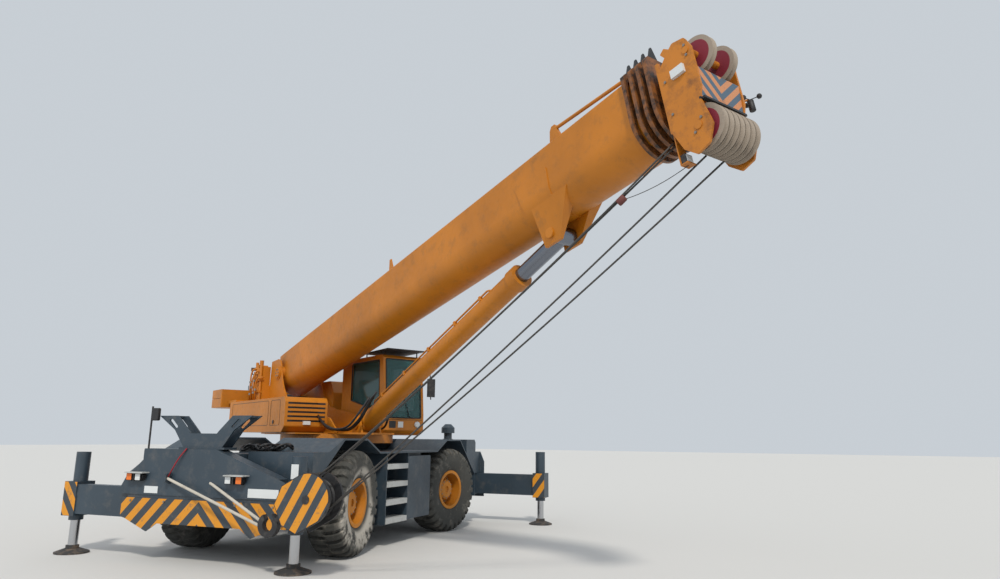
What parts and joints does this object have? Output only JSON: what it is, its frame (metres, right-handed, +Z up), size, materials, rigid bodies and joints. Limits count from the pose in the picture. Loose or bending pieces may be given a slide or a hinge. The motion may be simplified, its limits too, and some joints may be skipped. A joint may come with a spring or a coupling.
{
  "type": "mobile crane",
  "caption": "Rough-terrain mobile crane with a telescopic boom on a slewing upper structure, outriggers partly out and its hook block tied at the front",
  "frame": {"origin": "on the ground under the middle of the overall box", "axes": "+X the way the carrier faces, +Y the carrier's left, +Z up; the boom points 57.6 degrees left of +X"},
  "size_m": [9.1062, 11.9501, 6.065],
  "materials": {
    "carrier_grey": "satin",
    "crane_amber": "satin",
    "rim_amber": "satin",
    "black_steel": "satin",
    "chrome_rod": "polished",
    "tyre_rubber": "matte",
    "cab_glass": "clear",
    "seat_black": "matte",
    "sling_white": "matte",
    "lamp_plastic": "gloss",
    "sheave_steel": "worn",
    "striped_steel": "satin",
    "engine_iron": "matte"
  },
  "bodies": {
    "carrier": {"chassis_frame": "carrier_grey", "outrigger_boxes": "carrier_grey", "deck_and_fenders": "carrier_grey", "front_body": "carrier_grey", "bumper": "striped_steel", "boom_rest": "carrier_grey", "rear_body": "carrier_grey", "air_intake": "carrier_grey", "side_cabinets": "carrier_grey", "ladders": "carrier_grey", "slew_ring": "carrier_grey", "mirror_pole": "black_steel", "front_lamps": "lamp_plastic", "engine": "engine_iron", "axles": "carrier_grey", "hook_block": "striped_steel", "slings": "sling_white"},
    "upper": {"turntable": "crane_amber", "counterweight": "crane_amber", "right_housing": "crane_amber", "left_tank": "crane_amber", "winch": "black_steel", "valve_stack": "crane_amber", "cab_shell": "crane_amber", "cab_glass": "cab_glass", "cab_seat": "seat_black", "sunshade": "black_steel"},
    "boom_pin": {"boom_pin": "black_steel"},
    "lift_pin": {"lift_pin": "black_steel"},
    "boom": {"boom_base": "crane_amber"},
    "lift_barrel": {"lift_barrel": "crane_amber"},
    "lift_rod": {"lift_rod": "chrome_rod"},
    "section_1": {"boom_section_1": "crane_amber"},
    "section_2": {"boom_section_2": "crane_amber"},
    "section_3": {"boom_section_3": "crane_amber"},
    "section_4": {"boom_section_4": "crane_amber", "boom_head": "crane_amber", "head_sheaves": "sheave_steel"},
    "cab_door": {"cab_door": "crane_amber", "door_glass": "cab_glass"},
    "knuckle_fl": {"knuckle_fl": "carrier_grey"},
    "wheel_fl": {"tyre_fl": "tyre_rubber", "rim_fl": "rim_amber"},
    "knuckle_fr": {"knuckle_fr": "carrier_grey"},
    "wheel_fr": {"tyre_fr": "tyre_rubber", "rim_fr": "rim_amber"},
    "knuckle_rl": {"knuckle_rl": "carrier_grey"},
    "wheel_rl": {"tyre_rl": "tyre_rubber", "rim_rl": "rim_amber"},
    "knuckle_rr": {"knuckle_rr": "carrier_grey"},
    "wheel_rr": {"tyre_rr": "tyre_rubber", "rim_rr": "rim_amber"},
    "beam_fl": {"beam_fl": "carrier_grey"},
    "jack_fl": {"jack_fl": "chrome_rod"},
    "beam_fr": {"beam_fr": "carrier_grey"},
    "jack_fr": {"jack_fr": "chrome_rod"},
    "beam_rl": {"beam_rl": "carrier_grey"},
    "jack_rl": {"jack_rl": "chrome_rod"},
    "beam_rr": {"beam_rr": "carrier_grey"},
    "jack_rr": {"jack_rr": "chrome_rod"}
  },
  "joints": [
    {"name": "steer_fl", "type": "hinge", "parent": "carrier", "child": "knuckle_fl", "pos_m": [1.2649, -0.8609, 0.8075], "axis": [0, 0, 1], "range_deg": [-34.2, 15.8]},
    {"name": "spin_fl", "type": "hinge", "parent": "knuckle_fl", "child": "wheel_fl", "pos_m": [1.20814, -0.51047, 0.8075], "axis": [-0.1599, 0.9871, 0], "continuous": true},
    {"name": "steer_fr", "type": "hinge", "parent": "carrier", "child": "knuckle_fr", "pos_m": [1.2649, -2.9009, 0.8075], "axis": [0, 0, 1], "range_deg": [-34.2, 15.8]},
    {"name": "spin_fr", "type": "hinge", "parent": "knuckle_fr", "child": "wheel_fr", "pos_m": [1.32166, -3.25133, 0.8075], "axis": [-0.1599, 0.9871, 0], "continuous": true},
    {"name": "steer_rl", "type": "hinge", "parent": "carrier", "child": "knuckle_rl", "pos_m": [-2.4711, -0.8609, 0.8075], "axis": [0, 0, 1], "range_deg": [-13.5, 36.5]},
    {"name": "spin_rl", "type": "hinge", "parent": "knuckle_rl", "child": "wheel_rl", "pos_m": [-2.40032, -0.51303, 0.8075], "axis": [0.1994, 0.9799, 0], "continuous": true},
    {"name": "steer_rr", "type": "hinge", "parent": "carrier", "child": "knuckle_rr", "pos_m": [-2.4711, -2.9009, 0.8075], "axis": [0, 0, 1], "range_deg": [-13.5, 36.5]},
    {"name": "spin_rr", "type": "hinge", "parent": "knuckle_rr", "child": "wheel_rr", "pos_m": [-2.54188, -3.24877, 0.8075], "axis": [0.1994, 0.9799, 0], "continuous": true},
    {"name": "slew", "type": "hinge", "parent": "carrier", "child": "upper", "pos_m": [-0.6031, -1.8809, 1.66], "axis": [0, 0, 1], "continuous": true},
    {"name": "luff_low", "type": "hinge", "parent": "upper", "child": "boom_pin", "pos_m": [-1.78192, -3.73842, 3.17], "axis": [0.8443, -0.5358, 0], "range_deg": [-9.9, 0]},
    {"name": "luff", "type": "hinge", "parent": "boom_pin", "child": "boom", "pos_m": [-1.78192, -3.73842, 3.17], "axis": [0.8443, -0.5358, 0], "range_deg": [0, 66.1]},
    {"name": "lift_low", "type": "hinge", "parent": "upper", "child": "lift_pin", "pos_m": [0.03989, -0.86771, 2.07], "axis": [0.8443, -0.5358, 0], "range_deg": [-15.2, 0]},
    {"name": "lift_swing", "type": "hinge", "parent": "lift_pin", "child": "lift_barrel", "pos_m": [0.03989, -0.86771, 2.07], "axis": [0.8443, -0.5358, 0], "range_deg": [0, 72.45]},
    {"name": "lift_stroke", "type": "slide", "parent": "lift_barrel", "child": "lift_rod", "axis": [0.492, 0.7752, 0.3962], "range_m": [0, 3.812]},
    {"name": "telescope_1", "type": "slide", "parent": "boom", "child": "section_1", "axis": [0.5243, 0.8262, 0.2062], "range_m": [0, 7]},
    {"name": "telescope_2", "type": "slide", "parent": "section_1", "child": "section_2", "axis": [0.5243, 0.8262, 0.2062], "range_m": [0, 7]},
    {"name": "telescope_3", "type": "slide", "parent": "section_2", "child": "section_3", "axis": [0.5243, 0.8262, 0.2062], "range_m": [0, 7]},
    {"name": "telescope_4", "type": "slide", "parent": "section_3", "child": "section_4", "axis": [0.5243, 0.8262, 0.2062], "range_m": [0, 7]},
    {"name": "door_slide", "type": "slide", "parent": "upper", "child": "cab_door", "axis": [-0.5358, -0.8443, 0], "range_m": [0, 0.9]},
    {"name": "beam_fl_slide", "type": "slide", "parent": "carrier", "child": "beam_fl", "axis": [0, 1, 0], "range_m": [0, 1.75]},
    {"name": "jack_fl_slide", "type": "slide", "parent": "beam_fl", "child": "jack_fl", "axis": [0, 0, 1], "range_m": [-0.25, 0.36]},
    {"name": "beam_fr_slide", "type": "slide", "parent": "carrier", "child": "beam_fr", "axis": [0, -1, 0], "range_m": [-1.05, 0.7]},
    {"name": "jack_fr_slide", "type": "slide", "parent": "beam_fr", "child": "jack_fr", "axis": [0, 0, 1], "range_m": [-0.25, 0.36]},
    {"name": "beam_rl_slide", "type": "slide", "parent": "carrier", "child": "beam_rl", "axis": [0, 1, 0], "range_m": [-1.34, 0.41]},
    {"name": "jack_rl_slide", "type": "slide", "parent": "beam_rl", "child": "jack_rl", "axis": [0, 0, 1], "range_m": [-0.25, 0.36]},
    {"name": "beam_rr_slide", "type": "slide", "parent": "carrier", "child": "beam_rr", "axis": [0, -1, 0], "range_m": [-1.05, 0.7]},
    {"name": "jack_rr_slide", "type": "slide", "parent": "beam_rr", "child": "jack_rr", "axis": [0, 0, 1], "range_m": [-0.25, 0.36]}
  ],
  "couplings": [
    {"joint": "steer_fr", "follows": "steer_fl", "ratio": 1},
    {"joint": "steer_rr", "follows": "steer_rl", "ratio": 1},
    {"joint": "lift_low", "follows": "luff_low", "ratio": 1.5341},
    {"joint": "lift_swing", "follows": "luff", "ratio": 1.0959},
    {"joint": "lift_stroke", "follows": "luff", "m_per_rad": 3.3034},
    {"joint": "telescope_2", "follows": "telescope_1", "ratio": 1},
    {"joint": "telescope_3", "follows": "telescope_1", "ratio": 1},
    {"joint": "telescope_4", "follows": "telescope_1", "ratio": 1}
  ]
}
